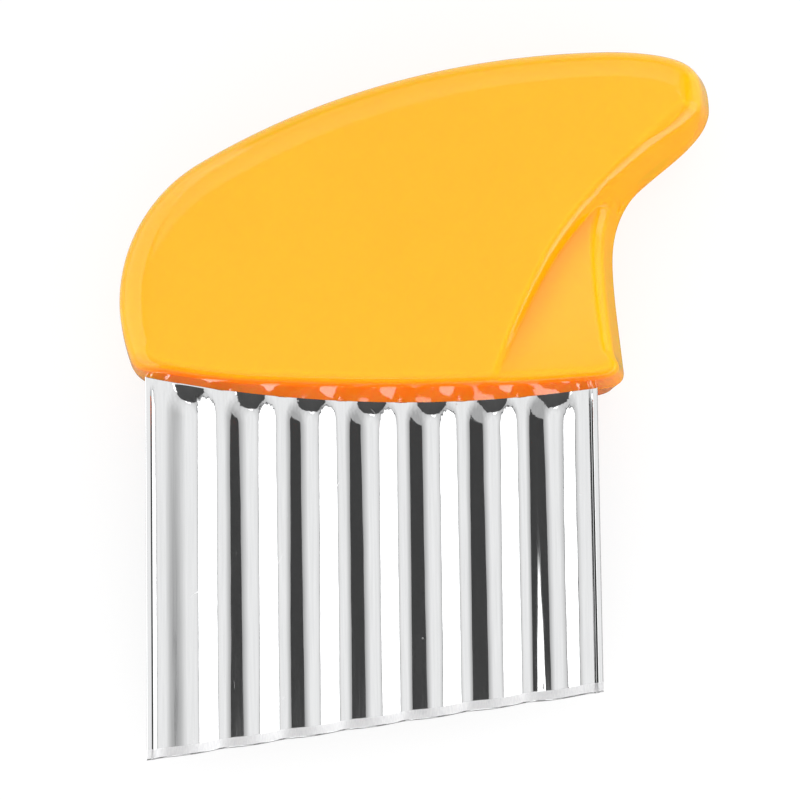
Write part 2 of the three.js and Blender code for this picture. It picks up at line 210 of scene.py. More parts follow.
def bezier(points, t):
    """Points on a curve of any degree, by repeated linear mixing."""
    level = [np.outer(np.ones_like(t), p) for p in points]
    while len(level) > 1:
        level = [a + (b - a) * t[:, None] for a, b in zip(level, level[1:])]
    return level[0]


def smooth(t):
    t = np.clip(t, 0, 1)
    return t * t * (3 - 2 * t)


def walk(start, stretches, fine=400):
    """Fine points along joined curves, and each point's place counted in stretches."""
    points, places = [], []
    t = np.linspace(0, 1, fine, endpoint=False)
    for i, (_, handles, end, *_rest) in enumerate(stretches):
        points.append(bezier([start, *handles, end], t))
        places.append(i + t)
        start = end
    return np.vstack([*points, [start]]), np.append(np.concatenate(places), len(stretches))


def even_steps(points, places, step):
    """The same line in equal steps; a closed line's last point is left off."""
    run = np.concatenate([[0], np.cumsum(np.linalg.norm(np.diff(points, axis=0), axis=1))])
    count = round(run[-1] / step)
    at = np.linspace(0, run[-1], count, endpoint=False)
    moved = np.column_stack([np.interp(at, run, points[:, k]) for k in (0, 1)])
    return moved, np.interp(at, run, places)


def around(values, reach):
    """Running mean over a closed row of values."""
    return sum(np.roll(values, k, axis=0) for k in range(-reach, reach + 1)) / (2 * reach + 1)


# Form of the handle's face

def palm_level(x):
    left = np.maximum(0, FLAT_LEFT - x) / (FLAT_LEFT + HALF_LENGTH)
    right = np.maximum(0, x - FLAT_RIGHT) / (HALF_LENGTH - FLAT_RIGHT)
    return HALF_THICK - NOSE_FALL * left**2 - FIN_FALL * right**2


ridge_line, _ = walk(RIDGE_START, RIDGE, 120)


def beyond_ridge(points):
    """Distance past the ridge's brow line, towards the heel, and the share along that line."""
    past = np.full(len(points), FAR_BEFORE)
    share = np.zeros(len(points))
    near = np.flatnonzero(points[:, 0] > RIDGE_START[0] - RIDGE_REACH)
    along = np.diff(ridge_line, axis=0)
    middles = (ridge_line[:-1] + ridge_line[1:]) / 2
    for part in np.array_split(near, max(1, len(near) // AT_A_TIME)):
        away = points[part][:, None, :] - middles[None]
        nearest = np.argmin((away**2).sum(2), axis=1)
        run = along[nearest]
        offset = away[np.arange(len(part)), nearest]
        cross = offset[:, 0] * run[:, 1] - offset[:, 1] * run[:, 0]
        past[part] = cross / np.linalg.norm(run, axis=1)
        share[part] = nearest / len(along)
    return past, share


def positive(values, ease):
    """The values above zero, eased where they cross it."""
    return np.where(values > ease, values, np.maximum(0, values + ease) ** 2 / (4 * ease))


def ridge_level(points):
    """Height of the main face, which turns into a facet at the ridge and then into the step's wall."""
    past, share = beyond_ridge(points)
    band = BAND[0] + (BAND[1] - BAND[0]) * share**2
    facet = BAND_SLOPE * positive(past - BAND_EASE, BAND_EASE)
    wall = (WALL_SLOPE - BAND_SLOPE) * np.where(
        past > 0, positive(past - BAND_EASE - band, BAND_EASE), 0
    )
    return palm_level(points[:, 0]) - facet - wall


def heel_depth(points):
    return HEEL_STEP + HEEL_SLOPE * np.maximum(0, points[:, 1] - foot_y(points[:, 0]))


def higher(first, second, ease):
    """The higher of two levels, eased where they meet."""
    near = np.maximum(0, 1 - np.abs(first - second) / np.maximum(ease, 1e-6))
    return np.maximum(first, second) + ease * near**2 / 4


def face_level(points):
    """Height of the face over the parting plane, without the rounding at its rim."""
    depth = heel_depth(points)
    heel = palm_level(points[:, 0]) - depth
    return higher(heel, ridge_level(points), np.minimum(RIDGE_FILLET, FILLET_SHARE * depth))


def fold_shade_mark(points):
    """How near a point of the face is to the fold at the foot of the step's wall, from 0 to 1: the
    strength of the painted shade there.
    """
    past, share = beyond_ridge(points)
    depth = heel_depth(points)
    foot = BAND_EASE + BAND[0] + np.maximum(0, depth - BAND[0] * BAND_SLOPE) / WALL_SLOPE
    after = past - foot
    mark = np.where(after < 0, smooth(1 + after / FOLD_EASE), np.exp(-((after / FOLD_WIDTH) ** 2)))
    fade, length = FOLD_FADE
    return mark * smooth(depth / FOLD_DEPTH) * (1 - smooth((share - fade) / length))


# Handle shells

def handle_outline():
    """Even points round the handle, with their inward directions, leans, brow radii and places."""
    points, places = even_steps(*walk(OUTLINE_START, OUTLINE), COLUMN)
    along = np.roll(points, -1, axis=0) - np.roll(points, 1, axis=0)
    inward = np.column_stack([-along[:, 1], along[:, 0]])
    inward = around(inward / np.linalg.norm(inward, axis=1)[:, None], INWARD_REACH)
    inward /= np.linalg.norm(inward, axis=1)[:, None]
    ends = np.arange(len(OUTLINE) + 1)
    lean = np.interp(places, ends, [OUTLINE[-1][3], *(s[3] for s in OUTLINE)])
    radius = np.interp(places, ends, [OUTLINE[-1][4], *(s[4] for s in OUTLINE)])
    across = (points[:, 0] - FOOT_LOW[0]) / (FOOT_RIGHT - FOOT_LOW[0])
    keel = np.where(places < 1, np.maximum(0, 1 - across**2), 0)
    lean = around(lean + keel * KEEL / HALF_THICK, LEAN_REACH)
    return points, inward, lean, around(radius, RADIUS_REACH), places


def section(start, inward, lean, radius, place):
    """Line from the parting plane up the side, round the brow and over the face to the centre."""
    by_ridge = HEEL_SIDE <= place < FIN_TIP
    line = thinned(section_line(start, inward, lean, radius, place, by_ridge), SECTION_ROWS)
    if FIN_SIDE < place < FIN_TIP:
        tip_line = thinned(section_line(start, inward, lean, radius, place, False), SECTION_ROWS)
        line += (tip_line - line) * smooth((place - FIN_SIDE) / (FIN_TIP - FIN_SIDE))
    return line


def section_line(start, inward, lean, radius, place, by_ridge):
    """That line in fine steps. By the ridge the side ends at the heel and carries the step's wall."""
    to_fin = smooth((place - NECK) / (FIN_SIDE - NECK))

    def level(points):
        if by_ridge:
            return palm_level(points[:, 0]) - heel_depth(points)
        return face_level(points) if place < HEEL_SIDE else palm_level(points[:, 0])

    insets = np.linspace(0, INSET_REACH, INSET_STEPS + 1)
    levels = level(start + insets[:, None] * inward)
    corner = np.flatnonzero(insets / lean >= levels)[0]
    inset = insets[corner]
    top = levels[corner]
    brow = min(radius, BROW_SHARE * top)
    below = top - brow
    side = np.linspace(PARTING + 2 * SEAM, below, SIDE_ROWS)
    rows = [(SEAM, PARTING)]
    rows += [(lean * z, z) for z in side]
    inner = inset + (brow if by_ridge else radius)
    inner_top = level((start + inner * inward)[None])[0]
    control = np.array([(lean * below, below), (inset, top), (inner, inner_top)])
    rows += [tuple(p) for p in brow_curve(*control, place)]
    rows = np.array(rows)
    plan = start + rows[:, :1] * inward
    share = np.linspace(0, 1, FACE_ROWS)[1:, None]
    over = plan[-1] + share * (CENTRE - plan[-1])
    line = np.vstack([np.column_stack([plan, rows[:, 1]]), np.column_stack([over, level(over)])])
    if by_ridge:
        ease = np.minimum(RIDGE_FILLET, FILLET_SHARE * heel_depth(line))
        sunk = np.maximum(line[:, 2] - FIN_DROP * to_fin, np.minimum(line[:, 2], FIN_LEDGE))
        lifted = higher(sunk, ridge_level(line[:, :2]), ease)
        side_line = PARTING + (line[:, :2] - start) @ inward / STEEPEST
        line[1:, 2] = -higher(-lifted, -side_line, SIDE_EASE)[1:]
    return line


def brow_curve(wall, corner, face, place):
    """Points from the wall over the brow to the face: one round curve, or a facet with rounded sides."""
    t = np.linspace(0, 1, BROW_ROWS + 1)[1:]
    round_brow = bezier([wall, corner, face], t)
    low = corner + FACET_LOW * (wall - corner)
    high = corner + FACET_HIGH * (face - corner)
    first = low + FACET_ROUND * (high - low)
    last = low + (1 - FACET_ROUND) * (high - low)
    end = high + FACET_ROUND * (face - corner)
    third = np.linspace(0, 1, BROW_ROWS // 3 + 1)[1:]
    stretches = ([wall, low, first], [first, last], [last, high, end])
    facet = np.vstack([bezier(stretch, third) for stretch in stretches])
    share = float(smooth((place - FACETED[0]) / (FACETED[1] - FACETED[0])))
    share -= float(smooth((place - FACETED[2]) / (FACETED[3] - FACETED[2])))
    return round_brow + (facet - round_brow) * share


def thinned(line, count):
    """So many points of a line, closer together where it bends; its ends stay."""
    steps = np.diff(line, axis=0)
    lengths = np.linalg.norm(steps, axis=1)
    ways = steps / lengths[:, None]
    bends = np.arccos(np.clip((ways[:-1] * ways[1:]).sum(1), -1, 1))
    weight = lengths.copy()
    weight[1:] += BEND_WEIGHT * bends / 2
    weight[:-1] += BEND_WEIGHT * bends / 2
    run = np.concatenate([[0], np.cumsum(weight)])
    at = np.linspace(0, run[-1], count)
    return np.column_stack([np.interp(at, run, line[:, k]) for k in range(3)])


def shell_points(slot):
    """Closed section lines of a shell, one for each column: face, side, rim and shallow recess."""
    columns = []
    for start, inward, lean, radius, place in zip(*handle_outline()):
        by_blade = BLADE_LEFT - MOUTH_ROOM < start[0] < BLADE_RIGHT + MOUTH_ROOM
        low = slot if by_blade and start[1] < MOUTH_TOP else PARTING
        outside = section(start, inward, lean, radius, place)
        lifted = low + (outside[:, 2] - PARTING) * (LIP - low) / (LIP - PARTING)
        outside[:, 2] = np.maximum(outside[:, 2], lifted)
        ray = CENTRE - start
        reach = np.linalg.norm(ray)
        square = max(LEAST_SQUARE, float(inward @ ray) / reach)
        rim = start + ray * RIM / square / reach
        mid = (rim + CENTRE) / 2
        inside = [(*rim, low), (*rim, RECESS), (*mid, RECESS)]
        columns.append(np.vstack([inside[::-1], outside[:-1]]))
    return np.array(columns)


def closed_shell(name, columns, side):
    """Mesh from section lines that all start and end at the centre, on one side of the parting plane."""
    count, rows, _ = columns.shape
    top = face_level(CENTRE[None])[0]
    vertices = np.vstack([columns.reshape(-1, 3), [[*CENTRE, RECESS], [*CENTRE, top]]])
    vertices[:, 2] = HALF_THICK + side * vertices[:, 2]
    below, above = count * rows, count * rows + 1
    faces = []
    for i in range(count):
        here, there = i * rows, ((i + 1) % count) * rows
        faces.append((below, there, here))
        faces += [(here + j, there + j, there + j + 1, here + j + 1) for j in range(rows - 1)]
        faces.append((here + rows - 1, there + rows - 1, above))
    if side < 0:
        faces = [face[::-1] for face in faces]
    made = piece(name, vertices, faces)
    # painted shade: how strongly the fold at the foot of the step's wall is darkened, kept on the mesh
    # for the plastic's colour
    fold = made.data.attributes.new("fold", "FLOAT", "POINT")
    fold.data.foreach_set("value", fold_shade_mark(vertices[:, :2]))
    return made


def piece(name, vertices, faces):
    """Smooth-shaded mesh object, from millimetres."""
    mesh = bpy.data.meshes.new(name)
    mesh.from_pydata((np.asarray(vertices) * MM).tolist(), [], faces)
    mesh.shade_smooth()
    made = bpy.data.objects.new(name, mesh)
    bpy.context.scene.collection.objects.link(made)
    return made


# Blade

def flute_depth(x, below):
    """Depth of the flutes, which grows to the right and flares towards the lower right corner."""
    across = np.clip((x - FLUTE_FIRST) / (FLUTE_LAST - FLUTE_FIRST), 0, 1)
    down = np.clip(below / -BLADE_LOW, 0, 1)
    flare = FLUTE_DEEPEN + FLUTE_FLARE * across**FLARE_POWER
    return FLUTE_DEPTH + FLUTE_GROWTH * across**GROWTH_POWER + flare * down


def press_marks(x, y):
    """Slow unevenness that pressing and hand polishing leave in the sheet."""
    slow = np.sin(0.62 * x + 0.9 * np.sin(0.11 * y)) * np.sin(0.16 * y + 0.4 * x)
    quick = np.sin(1.7 * x - 0.23 * y) * np.sin(0.31 * y + 1.1)
    return SLOW_MARKS * slow + QUICK_MARKS * quick


def end_creases(x, y, below):
    """Fine creases in the closed ends of the flutes."""
    creases = np.sin(8.5 * x + 3 * np.sin(2.1 * y)) * np.sin(7.3 * y + 2 * np.sin(1.7 * x))
    come, go = CREASED
    ends = np.clip(below / come, 0, 1) * np.clip((FLUTE_END - below) / go, 0, 1)
    return CREASE * creases * ends


def flute_top(x):
    """Height at which the flutes start."""
    height, length = FLUTE_LIFT
    return foot_y(x) + height * smooth((x - FLUTE_FIRST) / length)


def sheet_level(x, y):
    """Middle of the sheet over the parting plane."""
    below = flute_top(x) - y
    phase = 2 * np.pi * (np.maximum(x, LEFT_LIP[0]) - FLUTE_FIRST) / FLUTE_PITCH
    crest = (1 - np.cos(phase - FLUTE_WARP * np.sin(phase))) / 2
    right = RIGHT_RISE - RIGHT_SINK * np.clip(below / -BLADE_LOW, 0, 1)
    rise = np.where(x < FLUTE_FIRST, LEFT_RISE, np.where(x > FLUTE_LAST, right, 1))
    crest = np.where(x > FLUTE_LAST + FLUTE_PITCH / 2, 1, crest)
    wave = 1 - rise * crest
    place, reach, depth = RIGHT_FOLD
    wave += depth / FLUTE_DEPTH * (1 + np.cos(np.pi * np.clip((x - place) / reach, -1, 1))) / 2
    place, width, height = LEFT_LIP
    lip = height * smooth((place - x) / width)
    closed = np.sin(np.pi / 2 * np.clip(below / FLUTE_END, 0, 1))
    reach, height = MOUTH_SWELL
    swell = height * np.clip(1 - below / reach, 0, 1) * np.clip(1 + below / reach, 0, 1)
    pressed = closed * (lip + press_marks(x, y) - flute_depth(x, below) * wave)
    return pressed + swell + end_creases(x, y, below)


def blade_grid():
    """Columns of x, each with its row heights from the tang down to the cutting edge."""
    count = round((BLADE_RIGHT - BLADE_LEFT) / BLADE_STEP)
    x = np.linspace(BLADE_LEFT + BURR, BLADE_RIGHT - BURR, count)
    step = LEFT_LIP[0] - LEFT_LIP[1] * np.linspace(0, 1, LIP_COLUMNS)
    fold = RIGHT_FOLD[0] + RIGHT_FOLD[1] * np.linspace(-1, 1, FOLD_COLUMNS)
    bends = np.concatenate([step, fold])
    apart = np.abs(x[:, None] - bends).min(axis=1) > BLADE_STEP / 4
    x = np.sort(np.concatenate([x[apart], bends]))
    left = [BLADE_LEFT, BLADE_LEFT + BURR / 3]
    right = [BLADE_RIGHT - BURR / 3, BLADE_RIGHT]
    x = np.concatenate([left, x, right])
    edge = BLADE_LOW + EDGE_SLANT * (x - BLADE_LEFT)
    top = flute_top(x)
    tang = [np.full_like(x, TANG_TOP), (TANG_TOP + top) / 2, top + TANG_ROW]
    ends = [top - (FLUTE_END + END_RUN) * k / END_ROWS for k in range(END_ROWS + 1)]
    run = edge + BEVEL + BEVEL_EDGE - ends[-1]
    straight = [ends[-1] + run * k / STRAIGHT_ROWS for k in range(1, STRAIGHT_ROWS + 1)]
    ground = [edge + height for height in GROUND_ROWS]
    return x, edge, np.array(tang + ends + straight + ground).T


def fluted_blade():
    """The sheet's front and back, ground thin at the edge and rounded at the cut sides."""
    x, edge, y = blade_grid()
    columns, rows = y.shape
    across = np.repeat(x[:, None], rows, axis=1)
    middle = sheet_level(across, y)
    nudge = 0.01
    slope = (sheet_level(across + nudge, y) - sheet_level(across - nudge, y)) / (2 * nudge)
    half = SHEET / 2 * np.sqrt(1 + slope**2)
    aside = np.minimum(across - BLADE_LEFT, BLADE_RIGHT - across)
    rounded = BURR - np.sqrt(np.maximum(0, BURR**2 - np.maximum(0, BURR - aside) ** 2))
    share = np.interp(y - edge[:, None], (0, HONED[0], BEVEL), (1, HONED[1], 0))
    ground = share * (2 * half - EDGE_LAND - rounded)
    front = np.dstack([across, y, HALF_THICK + middle + half - rounded - ground])
    back = np.dstack([across, y, HALF_THICK + middle - half + rounded])
    vertices = np.vstack([front.reshape(-1, 3), back.reshape(-1, 3)])
    faces, finishes = sheet_faces(columns, rows)
    made = piece("fluted_blade", vertices, faces)
    made.data.materials.append(polished_steel())
    made.data.materials.append(ground_edge())
    made.data.polygons.foreach_set("material_index", finishes)
    return made


def sheet_faces(columns, rows):
    """Faces of a sheet with two grids, and which of them are ground; the honed strip stays bright."""
    faces, finishes = [], []

    def add(face, ground=0):
        faces.append(face)
        finishes.append(ground)

    back = columns * rows
    for i in range(columns - 1):
        here, there = i * rows, (i + 1) * rows
        for j in range(rows - 1):
            on_bevel = rows - len(GROUND_ROWS) <= j < rows - 2
            add((here + j, here + j + 1, there + j + 1, there + j), int(on_bevel))
            add((back + here + j, back + there + j, back + there + j + 1, back + here + j + 1))
        last = rows - 1
        add((here, there, back + there, back + here))
        add((here + last, back + here + last, back + there + last, there + last), 1)
    right = (columns - 1) * rows
    for j in range(rows - 1):
        add((j, back + j, back + j + 1, j + 1))
        add((right + j, right + j + 1, back + right + j + 1, back + right + j))
    return faces, finishes


# Finishes

DRIFT_RANGE = (0.32, 0.68)  # noise that counts as 0 and as 1
LINE_RANGE = (0.3, 0.7)
LINE_STRETCH = (1, 0.035, 1)
SPECKS_KEPT = 0.16  # share of the cells that hold a speck
SCRATCH_STRETCH = (1, 0.22, 1)
SCRATCH_TURN = math.radians(14)
SCRATCH_BREAKS = 0.13  # scale, in breaks a millimetre
SCRATCH_RANGE = (0.64, 0.67)
UNDER_FACING = (-0.56, -0.86)  # Y of the normal over which the underside's painted shade, deep orange, comes in
UNDER_NOSE = (-46.5, -41)  # and X over which that comes in at the nose and goes out at the heel
UNDER_HEEL = (34, 28)
FIN_WAY = (0.6, -0.8, 0)  # way that the side under the fin faces
FIN_FACING = (0.25, 0.95)  # how squarely a surface faces that way as its amber painted shade comes in
LOW_BROW_FACING = (-0.1, -0.5)  # Y of the normal over which the brow along the foot gets the amber painted shade
PLASTIC_ROUGH = (0.08, 0.12)
PLASTIC_SPECK_ROUGH = 0.25
PLASTIC_IOR = 1.46
PLASTIC_SCATTER = 0.6
SCATTER_DEPTH = 4  # depth that light reaches in the plastic, and the shares of it by colour
SCATTER_SHARES = (1.0, 0.28, 0.05)
PEEL_SCALE = 0.55
PEEL_DEPTH = 0.012
POLISHED_ROUGH = (0.035, 0.1)
POLISHED_MARK_ROUGH = 0.3
POLISHED_DEPTH = 0.0012
GROUND_ROUGH = (0.8, 0.9)
GROUND_DEPTH = 0.005


def new_group(name, inputs, outputs):
    """Empty shader node group with named number inputs and outputs."""
    group = bpy.data.node_groups.new(name, "ShaderNodeTree")
    for label, value in inputs:
        socket = group.interface.new_socket(label, in_out="INPUT", socket_type="NodeSocketFloat")
        socket.default_value = value
    for label in outputs:
        group.interface.new_socket(label, in_out="OUTPUT", socket_type="NodeSocketFloat")
    return group, group.nodes.new("NodeGroupInput"), group.nodes.new("NodeGroupOutput")


def math_node(tree, operation, *values):
    node = tree.nodes.new("ShaderNodeMath")
    node.operation = operation
    for socket, value in zip(node.inputs, values):
        if isinstance(value, bpy.types.NodeSocket):
            tree.links.new(value, socket)
        else:
            socket.default_value = value
    return node.outputs[0]


def ramp_node(tree, value, low, high, to_low=0.0, to_high=1.0):
    node = tree.nodes.new("ShaderNodeMapRange")
    tree.links.new(value, node.inputs["Value"])
    for label, number in zip(("From Min", "From Max", "To Min", "To Max"), (low, high, to_low, to_high)):
        node.inputs[label].default_value = number
    return node.outputs[0]


def place_on_part(tree, stretch=(1, 1, 1)):
    """Position on the part in millimetres, drawn out along its axes where a stretch is given."""
    place = tree.nodes.new("ShaderNodeTexCoord").outputs["Object"]
    scaled = tree.nodes.new("ShaderNodeVectorMath")
    scaled.operation = "MULTIPLY"
    tree.links.new(place, scaled.inputs[0])
    scaled.inputs[1].default_value = [part / MM for part in stretch]
    return scaled.outputs[0]


def split(tree, vector):
    """The X, Y and Z of a vector."""
    node = tree.nodes.new("ShaderNodeSeparateXYZ")
    tree.links.new(vector, node.inputs[0])
    return node.outputs


def noise_node(tree, place, scale, detail=2.0):
    node = tree.nodes.new("ShaderNodeTexNoise")
    tree.links.new(place, node.inputs["Vector"])
    node.inputs["Detail"].default_value = detail
    if isinstance(scale, bpy.types.NodeSocket):
        tree.links.new(scale, node.inputs["Scale"])
    else:
        node.inputs["Scale"].default_value = scale
    return node.outputs[0]


def drift_group():
    """Slow change over the surface, from 0 to 1."""
    tree, start, end = new_group("slow drift", [("Per mm", 0.05)], ["Drift"])
    noise = noise_node(tree, place_on_part(tree), start.outputs["Per mm"], detail=3)
    tree.links.new(ramp_node(tree, noise, *DRIFT_RANGE), end.inputs["Drift"])
    return tree


def specks_group():
    """Small scattered spots, 1 in a spot and 0 between."""
    tree, start, end = new_group("specks", [("Per mm", 0.5), ("Size", 0.1)], ["Specks"])
    cells = tree.nodes.new("ShaderNodeTexVoronoi")
    tree.links.new(place_on_part(tree), cells.inputs["Vector"])
    tree.links.new(start.outputs["Per mm"], cells.inputs["Scale"])
    inside = math_node(tree, "LESS_THAN", cells.outputs["Distance"], start.outputs["Size"])
    chosen = tree.nodes.new("ShaderNodeSeparateColor")
    tree.links.new(cells.outputs["Color"], chosen.inputs[0])
    rare = math_node(tree, "LESS_THAN", chosen.outputs[0], SPECKS_KEPT)
    tree.links.new(math_node(tree, "MULTIPLY", inside, rare), end.inputs["Specks"])
    return tree


def rubbed_group():
    """Fine lines that a polishing belt or a grinding wheel leaves along Y, from 0 to 1."""
    tree, start, end = new_group("rubbed lines", [("Per mm", 3.0)], ["Lines"])
    noise = noise_node(tree, place_on_part(tree, LINE_STRETCH), start.outputs["Per mm"], detail=4)
    tree.links.new(ramp_node(tree, noise, *LINE_RANGE), end.inputs["Lines"])
    return tree


def scratches_group():
    """Stray hair scratches, 1 on a scratch."""
    tree, start, end = new_group("hair scratches", [("Per mm", 0.1), ("Width", 0.004)], ["Scratches"])
    turned = tree.nodes.new("ShaderNodeVectorRotate")
    turned.inputs["Angle"].default_value = SCRATCH_TURN
    tree.links.new(place_on_part(tree, SCRATCH_STRETCH), turned.inputs["Vector"])
    cells = tree.nodes.new("ShaderNodeTexVoronoi")
    cells.feature = "DISTANCE_TO_EDGE"
    tree.links.new(turned.outputs[0], cells.inputs["Vector"])
    tree.links.new(start.outputs["Per mm"], cells.inputs["Scale"])
    near = math_node(tree, "LESS_THAN", cells.outputs["Distance"], start.outputs["Width"])
    broken = noise_node(tree, place_on_part(tree), SCRATCH_BREAKS, detail=1)
    few = ramp_node(tree, broken, *SCRATCH_RANGE)
    tree.links.new(math_node(tree, "MULTIPLY", near, few), end.inputs["Scratches"])
    return tree


GROUPS = {made.name: made for made in (drift_group(), specks_group(), rubbed_group(), scratches_group())}


def use(tree, name, **values):
    """Places a shared group in a material with its own values, and gives its output."""
    node = tree.nodes.new("ShaderNodeGroup")
    node.node_tree = GROUPS[name]
    for label, value in values.items():
        node.inputs[label.replace("_", " ")].default_value = value
    return node.outputs[0]


def mixed(tree, factor, first, second):
    node = tree.nodes.new("ShaderNodeMix")
    node.data_type = "RGBA"
    tree.links.new(factor, node.inputs["Factor"])
    for socket, colour in zip((node.inputs[6], node.inputs[7]), (first, second)):
        if isinstance(colour, bpy.types.NodeSocket):
            tree.links.new(colour, socket)
        else:
            socket.default_value = (*colour, 1)
    return node.outputs[2]


def bump(tree, height, depth):
    """Normal from a height of 0 to 1 that stands so many millimetres."""
    node = tree.nodes.new("ShaderNodeBump")
    node.inputs["Strength"].default_value = 1
    node.inputs["Distance"].default_value = depth * MM
    tree.links.new(height, node.inputs["Height"])
    return node.outputs[0]


def new_finish(name):
    """New material with its nodes and its shader."""
    material = bpy.data.materials.new(name)
    material.use_nodes = True
    return material, material.node_tree, material.node_tree.nodes["Principled BSDF"]


def plastic_colour(tree, drift):
    """Yellow with painted shade: amber on the sides away from the softbox, deeper in the fold and orange
    underneath.
    """
    normal = tree.nodes.new("ShaderNodeTexCoord").outputs["Normal"]
    ways = split(tree, normal)
    # painted shade: the underside turns deep orange as its normal turns down, fading out at the nose and
    # heel
    facing_down = ramp_node(tree, ways["Y"], *UNDER_FACING)
    along = split(tree, place_on_part(tree))["X"]
    off_nose = ramp_node(tree, along, *UNDER_NOSE)
    off_heel = ramp_node(tree, along, *UNDER_HEEL)
    under = math_node(tree, "MULTIPLY", facing_down, math_node(tree, "MULTIPLY", off_nose, off_heel))
    # painted shade: amber on the side under the fin and on the brow along the foot, from how they face
    to_fin = tree.nodes.new("ShaderNodeVectorMath")
    to_fin.operation = "DOT_PRODUCT"
    tree.links.new(normal, to_fin.inputs[0])
    to_fin.inputs[1].default_value = FIN_WAY
    fin_side = ramp_node(tree, to_fin.outputs["Value"], *FIN_FACING)
    low_brow = ramp_node(tree, ways["Y"], *LOW_BROW_FACING)
    shade = math_node(tree, "MAXIMUM", fin_side, low_brow)
    side_shaded = mixed(tree, shade, mixed(tree, drift, YELLOW, YELLOW_DEEP), SIDE_SHADE_AMBER)
    # painted shade in the fold where the heel meets the step's wall
    fold = tree.nodes.new("ShaderNodeAttribute")
    fold.attribute_name = "fold"
    return mixed(tree, under, mixed(tree, fold.outputs["Fac"], side_shaded, FOLD_SHADE), UNDERSIDE_SHADE_ORANGE)


def moulded_yellow():
    material, tree, shader = new_finish("moulded yellow plastic")
    drift = use(tree, "slow drift", Per_mm=0.03)
    specks = use(tree, "specks", Per_mm=0.12, Size=0.035)
    tree.links.new(plastic_colour(tree, drift), shader.inputs["Base Color"])
    gloss = ramp_node(tree, drift, 0, 1, *PLASTIC_ROUGH)
    rough = math_node(tree, "MULTIPLY_ADD", specks, PLASTIC_SPECK_ROUGH, gloss)
    tree.links.new(rough, shader.inputs["Roughness"])
    shader.inputs["IOR"].default_value = PLASTIC_IOR
    shader.inputs["Subsurface Weight"].default_value = PLASTIC_SCATTER
    shader.inputs["Subsurface Radius"].default_value = SCATTER_SHARES
    shader.inputs["Subsurface Scale"].default_value = SCATTER_DEPTH * MM
    peel = noise_node(tree, place_on_part(tree), PEEL_SCALE)
    tree.links.new(bump(tree, peel, PEEL_DEPTH), shader.inputs["Normal"])
    return material


def polished_steel():
    material, tree, shader = new_finish("polished stainless steel")
    lines = use(tree, "rubbed lines", Per_mm=2.6)
    specks = use(tree, "specks", Per_mm=0.35, Size=0.07)
    scratches = use(tree, "hair scratches", Per_mm=0.09, Width=0.002)
    marks = math_node(tree, "MAXIMUM", specks, scratches)
    tree.links.new(mixed(tree, lines, STEEL, STEEL_WORN), shader.inputs["Base Color"])
    shader.inputs["Metallic"].default_value = 1
    gloss = ramp_node(tree, lines, 0, 1, *POLISHED_ROUGH)
    rough = math_node(tree, "MULTIPLY_ADD", marks, POLISHED_MARK_ROUGH, gloss)
    tree.links.new(rough, shader.inputs["Roughness"])
    tree.links.new(bump(tree, lines, POLISHED_DEPTH), shader.inputs["Normal"])
    return material


def ground_edge():
    material, tree, shader = new_finish("ground steel edge")
    lines = use(tree, "rubbed lines", Per_mm=6.0)
    specks = use(tree, "specks", Per_mm=1.2, Size=0.2)
    marks = math_node(tree, "MAXIMUM", lines, specks)
    tree.links.new(mixed(tree, marks, GROUND, GROUND_DARK), shader.inputs["Base Color"])
    shader.inputs["Metallic"].default_value = 1
    tree.links.new(ramp_node(tree, lines, 0, 1, *GROUND_ROUGH), shader.inputs["Roughness"])
    tree.links.new(bump(tree, lines, GROUND_DEPTH), shader.inputs["Normal"])
    return material


# Studio

ZENITH = 1.05  # brightness overhead and at the horizon
HORIZON = 0.5
DOME_LOW = 0.57  # sines of the heights between which the dome brightens
DOME_HIGH = 0.906
EVEN = 0.87  # light from all round that shades the part
SECOND = 0.05  # share of the dome that second reflections still show
FLOOR_SIZE = 6000
FLOOR_PAPER = 0.8
FLOOR_ROUGH = 0.9
FLOOR_GLOW = 1.08
FLOOR_WHITE = 0.75  # share of that plain white that the camera sees
FLOOR_DIM = 0.65  # painted shadow: how much dimmer the floor near the part is in reflections
FLOOR_NEAR = (90, 115)  # distances over which that ends, from its middle
FLOOR_MIDDLE = (35, -40)
CARD_BLACK = 0.065
CARD_ROUGH = 0.8

# Black cards: middle and two half sides
CARDS = (
    ("right_flag", (2900, 1640, 1208), (0, 1500, 0), (0, 0, 748)),
    ("front_flag", (0, -300, 200), (260, 0, 0), (0, 0, 190)),
    ("softbox_frame", (-205, 20, 222), (0, 320, 0), (0, 0, 7)),
)

# Lamps: middle, width and height, brightness, and the light that one doesn't give
FILL_SIZE = (420, 300)
LAMPS = (
    ("left_softbox", (-205, 20, HALF_THICK), (640, 408), 1.45, "diffuse"),
    ("back_softbox", (-30, 490, 470), (900, 660), 0.85, "diffuse"),
    ("front_strip", (-50, -277, 405), (140, 26), 2.2, None),
    ("right_low_strip", (215, -50, 20), (230, 40), 1.6, "diffuse"),
    ("corner_low_strip", (150, -180, 40), (360, 80), 1.1, None),
    ("front_fill", (40, -320, 70), FILL_SIZE, 0.75, "glossy"),
    ("right_fill", (320, -40, 70), FILL_SIZE, 1.5, "glossy"),
    ("left_fill", (-230, -240, 70), FILL_SIZE, 1.5, "glossy"),
    ("back_fill", (0, 330, 70), FILL_SIZE, 0.7, "glossy"),
)


def mixed_shader(tree, factor, first, second):
    node = tree.nodes.new("ShaderNodeMixShader")
    for socket, value in zip(node.inputs, (factor, first, second)):
        tree.links.new(value, socket)
    return node.outputs[0]


def glow(tree, strength):
    node = tree.nodes.new("ShaderNodeEmission")
    node.inputs["Strength"].default_value = strength
    return node.outputs[0]


